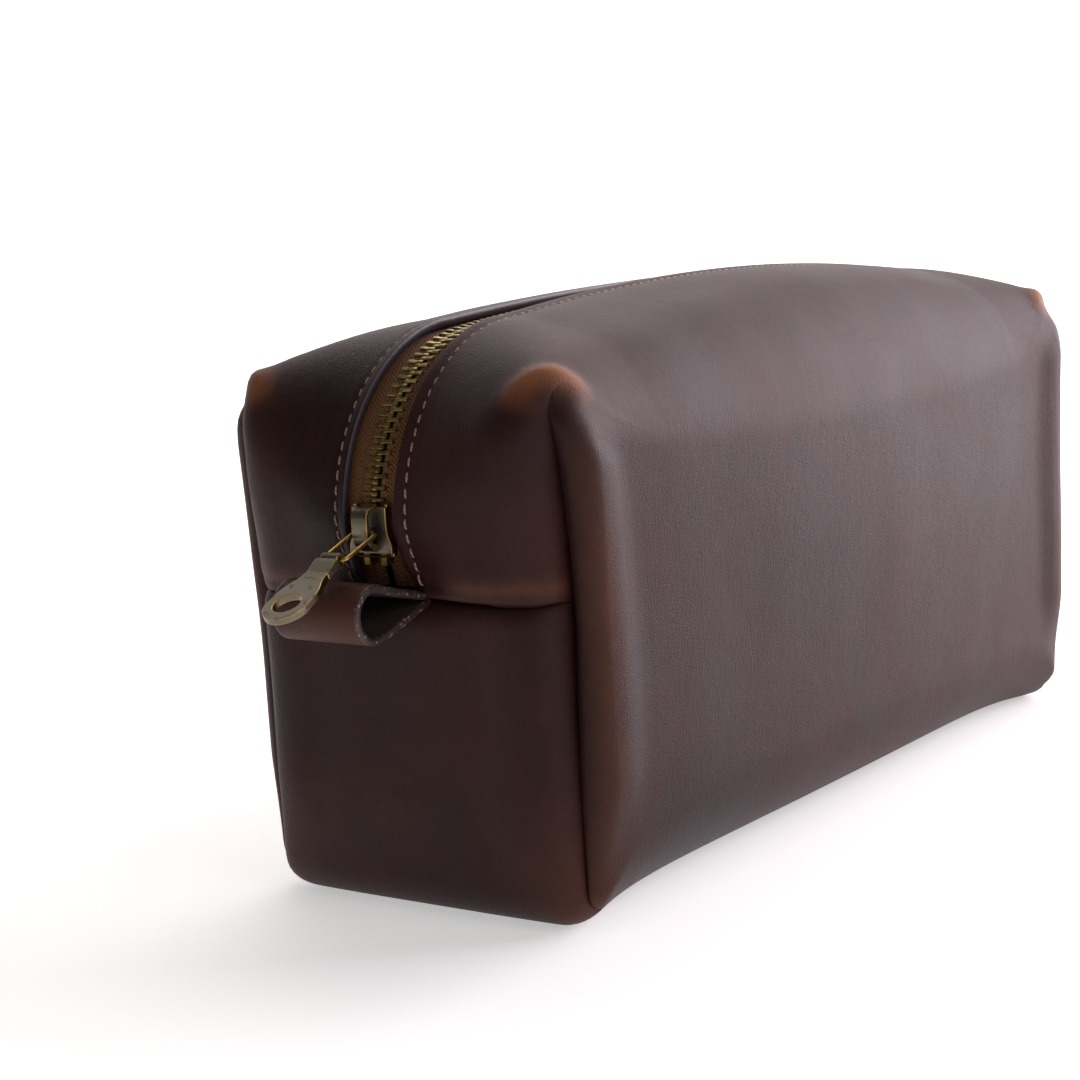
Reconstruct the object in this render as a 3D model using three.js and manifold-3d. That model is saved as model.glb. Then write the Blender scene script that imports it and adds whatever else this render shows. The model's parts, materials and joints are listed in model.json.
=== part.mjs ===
// Leather shaving kit bag with a metal zip over the top and down both ends.
// Millimetres, +Z up, +X towards the end away from the closed slider.
// The origin is on the table, under the middle of the bag.
import * as THREE from 'three';
import { mergeVertices } from 'three/addons/utils/BufferGeometryUtils.js';
import Module from 'manifold-3d';

const wasm = await Module();
wasm.setup();

// ---- driving dimensions --------------------------------------------------------------
const LEATHER = 2.0;
const GAP = 0.3;

const RIDGE_HEIGHT = 134.3;
const RIDGE_RADIUS = 868.5;
const SHOULDER_DROP = 9.5;
const END_CENTRE_UPPER = 136;
const END_CENTRE_LOWER = 131.5;
const END_CORNER = 129;
const END_LEAN_IN = 3.5;
const LEAN_IN_HEIGHT = 30;
const WAIST_HEIGHT = 60;
const WAIST_SPAN = 55;
const CORNER_SPREAD_UP = 2.5;
const CORNER_SPREAD_DOWN = -1.5;
const WALL_AT_END = 46.5;
const WALL_BULGE = 3.5;
const WALL_BULGE_HALF_LENGTH = 128;
const WALL_BULGE_SPAN = 75;
const WALL_BULGE_FADE = 0.6;
const FLAT_HALF_WIDTH = 12;
const CORNER_HALF_WIDTH = 42;
const END_SEAM_HEIGHT = 71.4;
const END_SWELL_LOW = 64;
const END_SWELL_HIGH = 77;
const WALL_MIDDLE_HEIGHT = 64;

const ZIP_END_RADIUS = 42.5;
const CORNER_TOP_RADIUS = 10;
const END_BOTTOM_RADIUS = 9;
const WALL_END_RADIUS = 10;
const WALL_TOP_EXTRA = 14;
const WALL_BOTTOM_EXTRA = 4;
const WALL_EDGE_HALF_LENGTH = 126;

const SLOT_HALF_WIDTH = 7;
const MOUTH_PAST_ZIP = 1.5;
const MOUTH_REACH = 9;
const TAPE_DEPTH = 2.6;
const TAPE_THICKNESS = 0.6;
const TAPE_OUTER_EDGE = 13;
const STITCH_LINE = 9.5;
const STITCH_LIFT = 0.5;
const THREAD = 0.7;
const ZIP_TAIL = 9;
const ZIP_TURN_DEG = 83.5;
const ARC_CENTRE = { x: -(END_CENTRE_UPPER - ZIP_END_RADIUS), z: 86.5 };

const TOOTH_PITCH = 2.5;
const TOOTH_THICKNESS = 1.05;
const TOOTH_HEIGHT = 2.6;
const TOOTH_ROOT = 3.0;
const CORD_WIDTH = 0.4;
const CORD_HEIGHT = 2.8;
const TOOTH_PAST_CENTRE = 0.7;

const SLIDER_BACK = -4.9;
const SLIDER_FRONT = 6.3;
const SLIDER_WIDE = 5.7;
const SLIDER_NARROW = 4.6;
const SLIDER_WALL = 0.8;
const PLATE = 1.2;
const TOP_PLATE_LOW = 1.5;
const BOTTOM_PLATE_HIGH = -2.2;
const FLANGE_REACH = 0.9;
const BRIDGE_RISE = 3.4;
const BRIDGE_WIDTH = 4.2;
const BRIDGE_STRAP = 1.1;
const WIRE = 1.0;
const LINK_HEIGHT = 3.85;
const LINK_AHEAD = 0.4;
const LINK_REACH = 12.1;
const LINK_HALF_WIDTH = 3.1;
const LINK_DROP_DEG = 20.3;
const TAB_DROP_DEG = 25.5;
const TAB_LENGTH = 22;
const TAB_HALF_WIDTH = 5.3;
const TAB_HOLE_RADIUS = 3.1;
const TAB_THICKNESS = 1.6;
const BARREL_RADIUS = 1.7;
const BARREL_BORE = 0.9;
const BARREL_HALF_LENGTH = 2.3;

const LOOP_RADIUS = 6.5;
const LOOP_CENTRE_X = 147;
const LOOP_TIP_X = 122;
const LOOP_LEATHER = 1.8;
const LOOP_LOW_Y = -9.5;
const LOOP_HIGH_Y = 14;
const SLIT_PAST_TIP = 1.5;

// ---- materials -----------------------------------------------------------------------
const leatherFinish = new THREE.MeshStandardMaterial({ color: 0x3d2722, roughness: 0.55 });
const loopFinish = new THREE.MeshStandardMaterial({ color: 0x4a2c22, roughness: 0.5 });
const tapeFinish = new THREE.MeshStandardMaterial({ color: 0x6e4a22, roughness: 0.9 });
const brassFinish = new THREE.MeshStandardMaterial({ color: 0x8a713a, roughness: 0.35, metalness: 1 });
const darkBrassFinish = new THREE.MeshStandardMaterial({
  color: 0x6f6450, roughness: 0.3, metalness: 1,
});
const threadFinish = new THREE.MeshStandardMaterial({ color: 0xb08f78, roughness: 0.8 });

// ---- helpers -------------------------------------------------------------------------
const rad = THREE.MathUtils.degToRad;
const clamp = THREE.MathUtils.clamp;
const smooth = (value, from, to) => THREE.MathUtils.smoothstep(value, from, to);

function toSolid(geometry) {
  const bare = geometry.clone();
  bare.deleteAttribute('normal');
  bare.deleteAttribute('uv');
  const merged = mergeVertices(bare, 1e-4);
  const vertProperties = Float32Array.from(merged.attributes.position.array);
  const triVerts = Uint32Array.from(merged.index.array);
  return new wasm.Manifold(new wasm.Mesh({ numProp: 3, vertProperties, triVerts }));
}

function fromSolid(solid) {
  const mesh = solid.getMesh();
  const geometry = new THREE.BufferGeometry();
  geometry.setAttribute('position', new THREE.BufferAttribute(mesh.vertProperties, 3));
  geometry.setIndex(new THREE.BufferAttribute(mesh.triVerts, 1));
  geometry.computeVertexNormals();
  return geometry;
}

const join = (solids) => solids.reduce((sum, solid) => sum.add(solid));

// A flat outline of [x, z] points, made solid between two values of y.
function slab(outline, lowY, highY, holes = []) {
  const points = outline.map(([x, z]) => new THREE.Vector2(x, z));
  if (THREE.ShapeUtils.isClockWise(points)) points.reverse();
  const shape = new THREE.Shape(points);
  for (const hole of holes) {
    shape.holes.push(new THREE.Path(hole.map(([x, z]) => new THREE.Vector2(x, z))));
  }
  const geometry = new THREE.ExtrudeGeometry(shape, { depth: highY - lowY, bevelEnabled: false });
  geometry.rotateX(Math.PI / 2);
  geometry.translate(0, highY, 0);
  return geometry;
}

function arc(cx, cy, radius, fromDeg, toDeg, steps) {
  const points = [];
  for (let i = 0; i <= steps; i += 1) {
    const angle = rad(fromDeg + ((toDeg - fromDeg) * i) / steps);
    points.push([cx + radius * Math.cos(angle), cy + radius * Math.sin(angle)]);
  }
  return points;
}

// ---- the bag's outer form ------------------------------------------------------------
// Each limiting surface is a signed distance, below zero inside the bag. They are joined
// with rounded edges, and the skin lies where the joined distance is zero.
const roundEdge = (a, b, radius) =>
  Math.min(-radius, Math.max(a, b)) + Math.hypot(Math.max(a + radius, 0), Math.max(b + radius, 0));

const acrossShare = (y) =>
  Math.max(0, (Math.abs(y) - FLAT_HALF_WIDTH) / (CORNER_HALF_WIDTH - FLAT_HALF_WIDTH));

function endReach(y, z) {
  const upper = smooth(z, END_SWELL_LOW, END_SWELL_HIGH);
  const lowered = END_LEAN_IN * (1 - smooth(z, 0, LEAN_IN_HEIGHT));
  const centre = END_CENTRE_LOWER + (END_CENTRE_UPPER - END_CENTRE_LOWER) * upper - lowered;
  const fromWaist = (z - WAIST_HEIGHT) / WAIST_SPAN;
  const spread = fromWaist > 0 ? CORNER_SPREAD_UP : CORNER_SPREAD_DOWN;
  const corner = END_CORNER + spread * fromWaist * fromWaist;
  const share = Math.min(acrossShare(y), 1);
  return corner + (centre - corner) * (1 - share * share);
}

function topReach(x, y) {
  const along = Math.min(Math.abs(x), -ARC_CENTRE.x);
  return RIDGE_HEIGHT - (along * along) / (2 * RIDGE_RADIUS) - SHOULDER_DROP * acrossShare(y) ** 1.5;
}

function wallReach(x, z) {
  const along = Math.max(0, 1 - (x / WALL_BULGE_HALF_LENGTH) ** 2);
  const up = 1 - WALL_BULGE_FADE * ((z - WAIST_HEIGHT) / WALL_BULGE_SPAN) ** 2;
  return WALL_AT_END + WALL_BULGE * along * up;
}

function wallEdgeRadius(x, z) {
  const along = Math.abs(x) / WALL_EDGE_HALF_LENGTH;
  const top = WALL_TOP_EXTRA * Math.max(0, 1 - along ** 2);
  const bottom = WALL_BOTTOM_EXTRA * Math.max(0, 1 - along ** 6);
  const high = smooth(z, 50, 100);
  return WALL_END_RADIUS + top * high + bottom * (1 - high);
}

function skinDistance(x, y, z) {
  const share = Math.min(acrossShare(y), 1);
  const zipRadius = ZIP_END_RADIUS + (CORNER_TOP_RADIUS - ZIP_END_RADIUS) * share ** 1.3;
  const end = Math.abs(x) - endReach(y, z);
  const top = z - topReach(x, y);
  const lengthwise = roundEdge(roundEdge(end, top, zipRadius), -z, END_BOTTOM_RADIUS);
  return roundEdge(lengthwise, Math.abs(y) - wallReach(x, z), wallEdgeRadius(x, z));
}

// The point of the skin, moved in by inset, on the ray from the bag's core through q.
function skinPoint(q, inset) {
  const core = new THREE.Vector3(clamp(q.x, -85, 85), 0, clamp(q.z, 48, 84));
  const ray = q.clone().sub(core);
  let near = 0.3;
  let far = 1.8;
  for (let i = 0; i < 40; i += 1) {
    const middle = (near + far) / 2;
    const p = core.clone().addScaledVector(ray, middle);
    if (skinDistance(p.x, p.y, p.z) + inset < 0) near = middle;
    else far = middle;
  }
  return core.addScaledVector(ray, near);
}

// Half of a lengthwise loop round the bag, from under its middle, up the far end, to the
// top of its middle. Its points only aim the rays that find the skin.
function halfLoop() {
  const points = [];
  const addSide = (x0, z0, x1, z1, steps) => {
    for (let i = 0; i < steps; i += 1) {
      points.push([x0 + ((x1 - x0) * i) / steps, z0 + ((z1 - z0) * i) / steps]);
    }
  };
  addSide(0, 0, 124, 0, 6);
  addSide(124, 0, 129, 6, 1);
  addSide(129, 6, 131, 78, 5);
  addSide(131, 78, 136, 86.5, 2);
  points.push(...arc(-ARC_CENTRE.x, ARC_CENTRE.z, ZIP_END_RADIUS, 0, ZIP_TURN_DEG, 10));
  addSide(80, 129, 0, 129, 4);
  points.push([0, 129]);
  return points;
}

// Lengthwise loops round the bag, one for each place across it, closed by a fan at the
// middle of each wall.
function bagSkin(inset) {
  const farHalf = halfLoop();
  const nearHalf = farHalf.slice(1, -1).reverse().map(([x, z]) => [-x, z]);
  const loop = [...farHalf, ...nearHalf];

  const across = [SLOT_HALF_WIDTH + 1, 13, 20, 28, 35, 41, 44.5];
  const wallShares = [0.985, 0.95, 0.88, 0.7, 0.4];
  const wallY = WALL_AT_END + 0.5;
  const middle = WALL_MIDDLE_HEIGHT;
  const rings = [];
  for (const y of across) rings.push(loop.map(([x, z]) => new THREE.Vector3(x, y, z)));
  for (const share of wallShares) {
    const toward = ([x, z]) => new THREE.Vector3(x * share, wallY, middle + (z - middle) * share);
    rings.push(loop.map(toward));
  }
  const half = rings.map((ring) => ring.map((q) => skinPoint(q, inset)));
  const mirrored = half.map((ring) => ring.map((p) => new THREE.Vector3(p.x, -p.y, p.z))).reverse();
  const all = [...mirrored, ...half];
  const wallCentre = skinPoint(new THREE.Vector3(0, wallY, middle), inset);

  const positions = [];
  for (const ring of all) for (const p of ring) positions.push(p.x, p.y, p.z);
  const frontPole = positions.length / 3;
  positions.push(wallCentre.x, -wallCentre.y, wallCentre.z);
  positions.push(wallCentre.x, wallCentre.y, wallCentre.z);
  const backPole = frontPole + 1;
  const count = loop.length;
  const index = [];
  for (let r = 0; r + 1 < all.length; r += 1) {
    for (let i = 0; i < count; i += 1) {
      const a = r * count + i;
      const b = r * count + ((i + 1) % count);
      index.push(a, b + count, b, a, a + count, b + count);
    }
  }
  const last = (all.length - 1) * count;
  for (let i = 0; i < count; i += 1) {
    const next = (i + 1) % count;
    index.push(frontPole, i, next);
    index.push(backPole, last + next, last + i);
  }
  const geometry = new THREE.BufferGeometry();
  geometry.setAttribute('position', new THREE.Float32BufferAttribute(positions, 3));
  geometry.setIndex(index);
  return geometry;
}

// ---- the zip's route -----------------------------------------------------------------
// The tape's middle plane: a straight tail, a tight turn, one long shallow arc over the
// top, then the same again down the far end.
const TURN_RADIUS = ZIP_END_RADIUS - TAPE_DEPTH;
const TURN = rad(ZIP_TURN_DEG);
const TOP_RADIUS = TURN_RADIUS - ARC_CENTRE.x / Math.cos(TURN);
const TOP_CENTRE_Z = ARC_CENTRE.z - (TOP_RADIUS - TURN_RADIUS) * Math.sin(TURN);
const TURN_LENGTH = TURN_RADIUS * TURN;
const TOP_LENGTH = 2 * TOP_RADIUS * (Math.PI / 2 - TURN);
const ZIP_LENGTH = 2 * (ZIP_TAIL + TURN_LENGTH) + TOP_LENGTH;

// The place at a distance along the zip, at a height above the tape's middle plane.
function zipPlace(distance, height) {
  if (distance > ZIP_LENGTH / 2) {
    const mirror = zipPlace(ZIP_LENGTH - distance, height);
    return { x: -mirror.x, z: mirror.z, lean: -mirror.lean };
  }
  if (distance < ZIP_TAIL) {
    const x = ARC_CENTRE.x - TURN_RADIUS - height;
    return { x, z: ARC_CENTRE.z - ZIP_TAIL + distance, lean: Math.PI / 2 };
  }
  const turned = (distance - ZIP_TAIL) / TURN_RADIUS;
  if (turned <= TURN) {
    const reach = TURN_RADIUS + height;
    const x = ARC_CENTRE.x - reach * Math.cos(turned);
    return { x, z: ARC_CENTRE.z + reach * Math.sin(turned), lean: Math.PI / 2 - turned };
  }
  const lean = Math.PI / 2 - TURN - (distance - ZIP_TAIL - TURN_LENGTH) / TOP_RADIUS;
  const reach = TOP_RADIUS + height;
  return { x: -reach * Math.sin(lean), z: TOP_CENTRE_Z + reach * Math.cos(lean), lean };
}

// A strip that follows the zip, between two heights, as an outline of [x, z] points.
function zipStrip(from, to, low, high) {
  const bounds = [ZIP_TAIL, ZIP_TAIL + TURN_LENGTH, ZIP_LENGTH - ZIP_TAIL - TURN_LENGTH,
    ZIP_LENGTH - ZIP_TAIL];
  const steps = [];
  const marks = [from, ...bounds.filter((mark) => mark > from && mark < to), to];
  for (let i = 0; i + 1 < marks.length; i += 1) {
    const middle = (marks[i] + marks[i + 1]) / 2;
    const onTop = middle > bounds[1] && middle < bounds[2];
    const onTurn = !onTop && middle > bounds[0] && middle < bounds[3];
    const count = onTurn ? 14 : onTop ? 12 : 1;
    for (let k = 0; k < count; k += 1) steps.push(marks[i] + ((marks[i + 1] - marks[i]) * k) / count);
  }
  steps.push(to);
  const upper = steps.map((distance) => zipPlace(distance, high));
  const lower = steps.map((distance) => zipPlace(distance, low)).reverse();
  return [...upper, ...lower].map((place) => [place.x, place.z]);
}

// ---- leather -------------------------------------------------------------------------
// A strap folded into a drop shape, round at the outside and pointed where it is sewn in.
function dropOutline(side, radius, tipX, steps) {
  const half = THREE.MathUtils.radToDeg(Math.acos(radius / (LOOP_CENTRE_X - tipX)));
  const round = arc(LOOP_CENTRE_X, END_SEAM_HEIGHT, radius, -(180 - half), 180 - half, steps);
  return [...round, [tipX, END_SEAM_HEIGHT]].map(([x, z]) => [side * x, z]);
}

function endLoop(side) {
  const hollow = LOOP_RADIUS - LOOP_LEATHER;
  const slope = (LOOP_CENTRE_X - LOOP_TIP_X) / LOOP_RADIUS;
  const hollowTip = LOOP_TIP_X + LOOP_LEATHER * slope;
  const outline = dropOutline(side, LOOP_RADIUS, LOOP_TIP_X, 16);
  const inside = dropOutline(side, hollow, hollowTip, 16);
  return fromSolid(toSolid(slab(outline, LOOP_LOW_Y, LOOP_HIGH_Y, [inside])));
}

function leatherBody() {
  const outer = toSolid(bagSkin(0));
  const inner = toSolid(bagSkin(LEATHER));
  const mouth = zipStrip(-MOUTH_PAST_ZIP, ZIP_LENGTH + MOUTH_PAST_ZIP, -MOUTH_REACH, MOUTH_REACH);
  const slot = toSolid(slab(mouth, -SLOT_HALF_WIDTH, SLOT_HALF_WIDTH));
  const slitTip = LOOP_TIP_X - SLIT_PAST_TIP;
  const slits = [-1, 1].map((side) => {
    const outline = dropOutline(side, LOOP_RADIUS + GAP, slitTip, 16);
    return toSolid(slab(outline, LOOP_LOW_Y - GAP, LOOP_HIGH_Y + GAP));
  });
  return fromSolid(outer.subtract(inner).subtract(slot).subtract(join(slits)));
}

// ---- zip -----------------------------------------------------------------------------
const COMB_START = 7.5;
const COMB_END = ZIP_LENGTH - 6;

function zipTape(side) {
  const strip = zipStrip(0, ZIP_LENGTH, -TAPE_THICKNESS / 2, TAPE_THICKNESS / 2);
  const inner = TOOTH_ROOT + CORD_WIDTH + GAP;
  return side < 0 ? slab(strip, -TAPE_OUTER_EDGE, -inner) : slab(strip, inner, TAPE_OUTER_EDGE);
}

// One side's teeth with the corded edge that they are clamped to.
function zipTeeth(side) {
  const cord = zipStrip(COMB_START, COMB_END, -CORD_HEIGHT / 2, CORD_HEIGHT / 2);
  const cordRange = [TOOTH_ROOT, TOOTH_ROOT + CORD_WIDTH].map((y) => side * y).sort((a, b) => a - b);
  const bite = 0.1;
  const width = TOOTH_ROOT + TOOTH_PAST_CENTRE + bite;
  const teeth = [];
  const first = COMB_START + TOOTH_THICKNESS / 2 + (side < 0 ? 0.2 : 0.2 + TOOTH_PITCH / 2);
  for (let at = first; at < COMB_END - TOOTH_THICKNESS; at += TOOTH_PITCH) {
    const place = zipPlace(at, 0);
    const tooth = new THREE.BoxGeometry(TOOTH_THICKNESS, width, TOOTH_HEIGHT);
    tooth.rotateY(-place.lean);
    tooth.translate(place.x, side * (width / 2 - TOOTH_PAST_CENTRE), place.z);
    teeth.push(toSolid(tooth));
  }
  return fromSolid(join([toSolid(slab(cord, ...cordRange)), ...teeth]));
}

// A stop clamped on the zip, between two distances along it and two places across it.
function zipStop(from, to, lowY, highY) {
  return slab(zipStrip(from, to, -TOOTH_HEIGHT / 2, TOOTH_HEIGHT / 2), lowY, highY);
}

// In the slider's own frame x runs along the zip to the slider's narrow end, y runs
// across it, and z rises out of the bag from the tape's middle plane.
function sliderBody() {
  const plan = (wide, narrow, back, front) => [
    [back, -wide], [-2.6, -wide], [-0.4, -narrow - 0.4], [2, -narrow], [front, -narrow],
    [front, narrow], [2, narrow], [-0.4, narrow + 0.4], [-2.6, wide], [back, wide],
  ];
  const flat = (outline, low, high) => {
    const shape = new THREE.Shape(outline.map(([x, y]) => new THREE.Vector2(x, y)));
    const geometry = new THREE.ExtrudeGeometry(shape, { depth: high - low, bevelEnabled: false });
    return toSolid(geometry.translate(0, 0, low));
  };
  const floor = TOP_PLATE_LOW + PLATE;
  const roof = floor + BRIDGE_RISE;
  const under = roof - BRIDGE_STRAP;
  const outer = plan(SLIDER_WIDE, SLIDER_NARROW, SLIDER_BACK, SLIDER_FRONT);
  const wideInside = SLIDER_WIDE - SLIDER_WALL;
  const narrowInside = SLIDER_NARROW - SLIDER_WALL;
  const hollow = plan(wideInside, narrowInside, SLIDER_BACK - 1, SLIDER_FRONT + 1);
  const channel = flat(hollow, BOTTOM_PLATE_HIGH, TOP_PLATE_LOW);
  const top = flat(outer, TOP_PLATE_LOW - FLANGE_REACH, floor).subtract(channel);
  const base = flat(outer, BOTTOM_PLATE_HIGH - PLATE, BOTTOM_PLATE_HIGH + FLANGE_REACH);
  const bottom = base.subtract(channel);
  const bite = 0.5;
  const divider = [[SLIDER_BACK + 0.3, 0], [-3.4, -1.2], [-2, 0], [-3.4, 1.2]];
  const post = flat(divider, BOTTOM_PLATE_HIGH - bite, TOP_PLATE_LOW + bite);
  const bridge = [
    [-4, floor - bite], [-3, roof - 1.8], [-2, roof - 0.6], [-0.8, roof], [4, roof], [5.4, roof - 0.8],
    [6, floor - bite], [4.9, floor - bite], [4.4, under - 0.6], [3.7, under], [-0.6, under],
    [-1.4, under - 0.5], [-2.6, floor - bite],
  ];
  const crown = toSolid(slab(bridge, -BRIDGE_WIDTH / 2, BRIDGE_WIDTH / 2));
  return fromSolid(join([top, bottom, post, crown]));
}

// A wire ring. Its first cross bar lies on the origin and its second at LINK_REACH on +x.
function pullLink() {
  const r = WIRE / 2;
  const rect = (grow) => {
    const far = LINK_REACH + grow;
    const wide = LINK_HALF_WIDTH + grow;
    return [[-grow, -wide], [far, -wide], [far, wide], [-grow, wide]];
  };
  const toPath = (points) => points.map(([x, y]) => new THREE.Vector2(x, y));
  const shape = new THREE.Shape(toPath(rect(r)));
  shape.holes.push(new THREE.Path(toPath(rect(-r))));
  const geometry = new THREE.ExtrudeGeometry(shape, { depth: WIRE, bevelEnabled: false });
  return geometry.translate(0, 0, -r);
}

// The barrel is on the origin, and the flat tab runs along +x to a round end with a hole.
function pullTab() {
  const bore = arc(0, 0, BARREL_BORE, 0, 330, 11);
  const round = arc(0, 0, BARREL_RADIUS, 0, 345, 15);
  const barrel = toSolid(slab(round, -BARREL_HALF_LENGTH, BARREL_HALF_LENGTH, [bore]));
  const tipCentre = TAB_LENGTH - TAB_HALF_WIDTH;
  const outline = [[1.1, -2.1], [2.4, -2.1], [3, -2.9], [6.8, -2.9], [11, -4.6],
    ...arc(tipCentre, 0, TAB_HALF_WIDTH, -90, 90, 14),
    [11, 4.6], [6.8, 2.9], [3, 2.9], [2.4, 2.1], [1.1, 2.1]];
  const shape = new THREE.Shape(outline.map(([x, y]) => new THREE.Vector2(x, y)));
  const hole = arc(tipCentre - 0.3, 0, TAB_HOLE_RADIUS, 0, 342, 19);
  shape.holes.push(new THREE.Path(hole.map(([x, y]) => new THREE.Vector2(x, y))));
  const flat = new THREE.ExtrudeGeometry(shape, { depth: TAB_THICKNESS, bevelEnabled: false });
  flat.translate(0, 0, -TAB_THICKNESS / 2);
  return fromSolid(join([barrel, toSolid(flat)]));
}

// ---- thread --------------------------------------------------------------------------
function zipStitch(y) {
  const low = TAPE_DEPTH + STITCH_LIFT;
  return slab(zipStrip(1, ZIP_LENGTH - 1, low, low + THREAD), y - THREAD / 2, y + THREAD / 2);
}

function threadAlong(points, steps) {
  const section = new THREE.Shape();
  section.absarc(0, 0, THREAD / 2, 0, Math.PI * 2, false);
  const extrudePath = new THREE.CatmullRomCurve3(points);
  return new THREE.ExtrudeGeometry(section, { steps, curveSegments: 3, extrudePath });
}

// A corner seam is sewn inside the bag, where the wall turns into the end.
function cornerThread(sideX, sideY) {
  const inside = 5.4;
  const wallX = 120;
  const points = [14, 36, 58, 80, 100].map((z) => new THREE.Vector3(
    sideX * (endReach(CORNER_HALF_WIDTH, z) - inside), sideY * (wallReach(wallX, z) - inside), z,
  ));
  return threadAlong(points, 8);
}

function endSeamThread(side) {
  const z = END_SEAM_HEIGHT - 3;
  const points = [-36, -18, 0, 18, 36].map((y) =>
    new THREE.Vector3(side * (endReach(y, z) - LEATHER - 1.3), y, z));
  return threadAlong(points, 8);
}

// ---- assembly ------------------------------------------------------------------------
const bag = new THREE.Group();

function add(parent, name, geometry, material) {
  const mesh = new THREE.Mesh(geometry, material);
  mesh.name = name;
  parent.add(mesh);
}

add(bag, 'leather_body', leatherBody(), leatherFinish);
add(bag, 'near_end_loop', endLoop(-1), loopFinish);
add(bag, 'far_end_loop', endLoop(1), loopFinish);
add(bag, 'zip_tape_front', zipTape(-1), tapeFinish);
add(bag, 'zip_tape_back', zipTape(1), tapeFinish);
add(bag, 'zip_teeth_front', zipTeeth(-1), brassFinish);
add(bag, 'zip_teeth_back', zipTeeth(1), brassFinish);
add(bag, 'top_stop_front', zipStop(2, 5.6, -TOOTH_ROOT, -1.5), brassFinish);
add(bag, 'top_stop_back', zipStop(2, 5.6, 1.5, TOOTH_ROOT), brassFinish);
add(bag, 'bottom_stop', zipStop(COMB_END + GAP, ZIP_LENGTH - 2, -TOOTH_ROOT, TOOTH_ROOT), brassFinish);
add(bag, 'zip_stitch_front', zipStitch(-STITCH_LINE), threadFinish);
add(bag, 'zip_stitch_back', zipStitch(STITCH_LINE), threadFinish);
add(bag, 'near_end_seam_thread', endSeamThread(-1), threadFinish);
add(bag, 'far_end_seam_thread', endSeamThread(1), threadFinish);
for (const [endName, sideX] of [['near', -1], ['far', 1]]) {
  for (const [wallName, sideY] of [['front', -1], ['back', 1]]) {
    add(bag, `corner_thread_${endName}_${wallName}`, cornerThread(sideX, sideY), threadFinish);
  }
}

// The slider's frame stands on the near end: its x is up and its z is out of the bag.
const slider = new THREE.Group();
slider.rotation.y = -Math.PI / 2;
slider.position.set(ARC_CENTRE.x - TURN_RADIUS, 0, ARC_CENTRE.z);
bag.add(slider);
add(slider, 'slider_body', sliderBody(), darkBrassFinish);

const link = new THREE.Group();
link.position.set(ARC_CENTRE.x - TURN_RADIUS - LINK_HEIGHT, 0, ARC_CENTRE.z + LINK_AHEAD);
link.rotation.y = Math.PI - rad(LINK_DROP_DEG);
bag.add(link);
add(link, 'pull_link', pullLink(), darkBrassFinish);

const tab = new THREE.Group();
tab.position.set(
  link.position.x - LINK_REACH * Math.cos(rad(LINK_DROP_DEG)),
  0,
  link.position.z - LINK_REACH * Math.sin(rad(LINK_DROP_DEG)),
);
tab.rotation.y = Math.PI - rad(TAB_DROP_DEG);
bag.add(tab);
add(tab, 'pull_tab', pullTab(), darkBrassFinish);

export default bag;
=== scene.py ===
"""Looks of the leather shaving kit bag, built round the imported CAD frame.

Shapes are worked out in millimetres in the row frame and scaled to metres when a mesh is made.
"""
import json
import math

import bpy
import numpy as np
from mathutils import Euler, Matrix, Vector


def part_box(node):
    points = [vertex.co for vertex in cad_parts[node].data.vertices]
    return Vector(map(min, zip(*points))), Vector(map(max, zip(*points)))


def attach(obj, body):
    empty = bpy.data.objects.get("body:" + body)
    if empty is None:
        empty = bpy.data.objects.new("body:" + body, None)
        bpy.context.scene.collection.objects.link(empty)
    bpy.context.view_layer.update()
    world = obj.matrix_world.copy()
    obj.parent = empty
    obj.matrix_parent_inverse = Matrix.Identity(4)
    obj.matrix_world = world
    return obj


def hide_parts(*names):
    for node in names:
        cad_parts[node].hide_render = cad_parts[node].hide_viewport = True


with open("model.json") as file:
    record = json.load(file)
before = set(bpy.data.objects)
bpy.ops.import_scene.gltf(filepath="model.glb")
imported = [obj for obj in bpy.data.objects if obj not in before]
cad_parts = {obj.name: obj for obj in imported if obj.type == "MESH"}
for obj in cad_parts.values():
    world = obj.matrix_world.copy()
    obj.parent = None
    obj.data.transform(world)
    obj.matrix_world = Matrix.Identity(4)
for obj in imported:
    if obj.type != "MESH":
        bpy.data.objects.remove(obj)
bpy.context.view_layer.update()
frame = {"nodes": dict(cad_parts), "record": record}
MM = 0.001


# ---- sizes that come from the frame --------------------------------------------------
def box_mm(node):
    low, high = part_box(node)
    return np.array(low) / MM, np.array(high) / MM


BODY_LOW, BODY_HIGH = box_mm("leather_body")
LOOP_LOW, LOOP_HIGH = box_mm("near_end_loop")
TAPE_LOW, TAPE_HIGH = box_mm("zip_tape_back")
STITCH_Y = float(np.mean([c[1] for c in box_mm("zip_stitch_back")]))
JOINTS = {joint["name"]: joint for joint in frame["record"]["behaviour"]["joints"]}
HINGE = JOINTS["slider_travel"]
LINK_PIVOT = JOINTS["link_swing"]
TAB_PIVOT = JOINTS["tab_swing"]
ARC_X = HINGE["pos_m"][0] / MM
ARC_Z = HINGE["pos_m"][2] / MM

RIDGE = BODY_HIGH[2]
END_CENTRE = BODY_HIGH[0]
END_RADIUS = END_CENTRE + ARC_X
SEAM_Z = (LOOP_LOW[2] + LOOP_HIGH[2]) / 2
RIDGE_RADIUS = 868.5
TURN = math.radians(83.5)
TAPE_DEPTH = 2.6
TURN_RADIUS = END_RADIUS - TAPE_DEPTH
TOP_RADIUS = TURN_RADIUS - ARC_X / math.cos(TURN)
TOP_CENTRE_Z = ARC_Z - (TOP_RADIUS - TURN_RADIUS) * math.sin(TURN)
TAIL = ARC_Z - TAPE_LOW[2]
TURN_LENGTH = TURN_RADIUS * TURN
ZIP_LENGTH = 2 * (TAIL + TURN_LENGTH) + 2 * TOP_RADIUS * (math.pi / 2 - TURN)

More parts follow.
